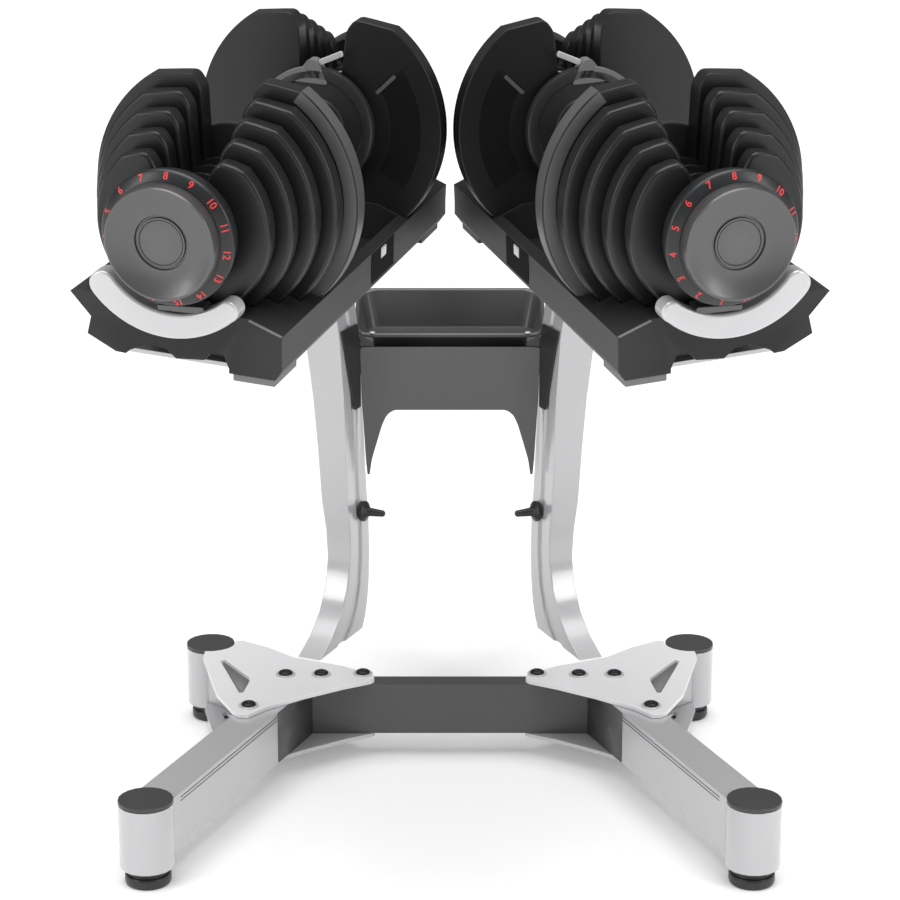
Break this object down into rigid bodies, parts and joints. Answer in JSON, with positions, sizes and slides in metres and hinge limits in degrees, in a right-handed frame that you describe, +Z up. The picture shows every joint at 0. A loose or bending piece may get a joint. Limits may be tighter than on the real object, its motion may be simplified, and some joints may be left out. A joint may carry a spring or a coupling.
{
  "type": "adjustable dumbbell pair on stand",
  "caption": "Pair of dial-adjusted dumbbells with nested slotted plates, each in a moulded tray on an open stand with curved uprights, spread legs, a small shelf and levelling feet.",
  "frame": {"origin": "on the floor, under the middle of the whole set", "axes": "+Z up, -Y towards the person who lifts the dumbbells, X across"},
  "size_m": [0.5958, 0.761, 0.7681],
  "materials": {
    "silver_paint": "satin silver powder coat",
    "dark_paint": "satin dark grey powder coat",
    "dark_cap": "moulded dark cap",
    "tray_plastic": "fine moulded black plastic",
    "trim_silver": "silver painted trim",
    "plate_shell": "steel plate with a dark moulded skin",
    "dial_grey": "grey metallic moulding",
    "steel": "bare steel",
    "rubber": "matte black rubber",
    "black_plastic": "black moulding"
  },
  "bodies": {
    "stand": {"crossbar": "dark_paint", "leg_front_left": "silver_paint", "leg_rear_left": "silver_paint", "cap_front_left": "dark_cap", "cap_rear_left": "dark_cap", "gusset_top_left": "silver_paint", "gusset_bottom_left": "silver_paint", "upright_left": "silver_paint", "tray_support_left": "silver_paint", "leg_front_right": "silver_paint", "leg_rear_right": "silver_paint", "cap_front_right": "dark_cap", "cap_rear_right": "dark_cap", "gusset_top_right": "silver_paint", "gusset_bottom_right": "silver_paint", "upright_right": "silver_paint", "tray_support_right": "silver_paint", "shelf_tray": "dark_paint", "shelf_panel": "dark_paint", "cradle_left": "tray_plastic", "crescent_front_left": "trim_silver", "crescent_rear_left": "trim_silver", "plate_front_1_left": "plate_shell", "plate_front_2_left": "plate_shell", "plate_rear_1_left": "plate_shell", "plate_rear_2_left": "plate_shell", "cradle_right": "tray_plastic", "crescent_front_right": "trim_silver", "crescent_rear_right": "trim_silver", "plate_front_1_right": "plate_shell", "plate_front_2_right": "plate_shell", "plate_rear_1_right": "plate_shell", "plate_rear_2_right": "plate_shell"},
    "handle_left": {"handle_left": "steel", "grip_left": "rubber"},
    "picked_plates_left": {"plate_front_3_left": "plate_shell", "plate_front_4_left": "plate_shell", "plate_front_5_left": "plate_shell", "plate_rear_3_left": "plate_shell", "plate_rear_4_left": "plate_shell", "plate_rear_5_left": "plate_shell"},
    "dial_front_left": {"dial_front_left": "dial_grey"},
    "dial_rear_left": {"dial_rear_left": "dial_grey"},
    "foot_front_left": {"foot_front_left": "rubber"},
    "foot_rear_left": {"foot_rear_left": "rubber"},
    "side_peg_left": {"side_peg_left": "black_plastic"},
    "handle_right": {"handle_right": "steel", "grip_right": "rubber"},
    "picked_plates_right": {"plate_front_3_right": "plate_shell", "plate_front_4_right": "plate_shell", "plate_front_5_right": "plate_shell", "plate_rear_3_right": "plate_shell", "plate_rear_4_right": "plate_shell", "plate_rear_5_right": "plate_shell"},
    "dial_front_right": {"dial_front_right": "dial_grey"},
    "dial_rear_right": {"dial_rear_right": "dial_grey"},
    "foot_front_right": {"foot_front_right": "rubber"},
    "foot_rear_right": {"foot_rear_right": "rubber"},
    "side_peg_right": {"side_peg_right": "black_plastic"}
  },
  "joints": [
    {"name": "lift_left", "type": "slide", "parent": "stand", "child": "handle_left", "axis": [-0.0306, -0.0981, 0.9947], "range_m": [0, 0.25]},
    {"name": "picked_plates_lift_left", "type": "slide", "parent": "stand", "child": "picked_plates_left", "axis": [-0.0306, -0.0981, 0.9947], "range_m": [0, 0.25]},
    {"name": "dial_front_turn_left", "type": "hinge", "parent": "handle_left", "child": "dial_front_left", "pos_m": [-0.2067, -0.32704, 0.6375], "axis": [0.2958, 0.9497, 0.1028], "continuous": true},
    {"name": "dial_rear_turn_left", "type": "hinge", "parent": "handle_left", "child": "dial_rear_left", "pos_m": [-0.08116, 0.07602, 0.68112], "axis": [0.2958, 0.9497, 0.1028], "continuous": true},
    {"name": "foot_front_turn_left", "type": "hinge", "parent": "stand", "child": "foot_front_left", "pos_m": [-0.273, -0.14945, 0], "axis": [0, 0, 1], "continuous": true},
    {"name": "foot_rear_turn_left", "type": "hinge", "parent": "stand", "child": "foot_rear_left", "pos_m": [-0.25, 0.23855, 0], "axis": [0, 0, 1], "continuous": true},
    {"name": "side_peg_turn_left", "type": "hinge", "parent": "stand", "child": "side_peg_left", "pos_m": [-0.09267, 0.27826, 0.213], "axis": [0.9212, -0.3891, 0], "continuous": true},
    {"name": "lift_right", "type": "slide", "parent": "stand", "child": "handle_right", "axis": [0.0306, -0.0981, 0.9947], "range_m": [0, 0.25]},
    {"name": "picked_plates_lift_right", "type": "slide", "parent": "stand", "child": "picked_plates_right", "axis": [0.0306, -0.0981, 0.9947], "range_m": [0, 0.25]},
    {"name": "dial_front_turn_right", "type": "hinge", "parent": "handle_right", "child": "dial_front_right", "pos_m": [0.2067, -0.32704, 0.6375], "axis": [-0.2958, 0.9497, 0.1028], "continuous": true},
    {"name": "dial_rear_turn_right", "type": "hinge", "parent": "handle_right", "child": "dial_rear_right", "pos_m": [0.08116, 0.07602, 0.68112], "axis": [-0.2958, 0.9497, 0.1028], "continuous": true},
    {"name": "foot_front_turn_right", "type": "hinge", "parent": "stand", "child": "foot_front_right", "pos_m": [0.273, -0.14945, 0], "axis": [0, 0, 1], "continuous": true},
    {"name": "foot_rear_turn_right", "type": "hinge", "parent": "stand", "child": "foot_rear_right", "pos_m": [0.25, 0.23855, 0], "axis": [0, 0, 1], "continuous": true},
    {"name": "side_peg_turn_right", "type": "hinge", "parent": "stand", "child": "side_peg_right", "pos_m": [0.09267, 0.27826, 0.213], "axis": [-0.9212, -0.3891, 0], "continuous": true}
  ],
  "couplings": [
    {"joint": "picked_plates_lift_left", "follows": "lift_left", "ratio": 1},
    {"joint": "picked_plates_lift_right", "follows": "lift_right", "ratio": 1}
  ]
}
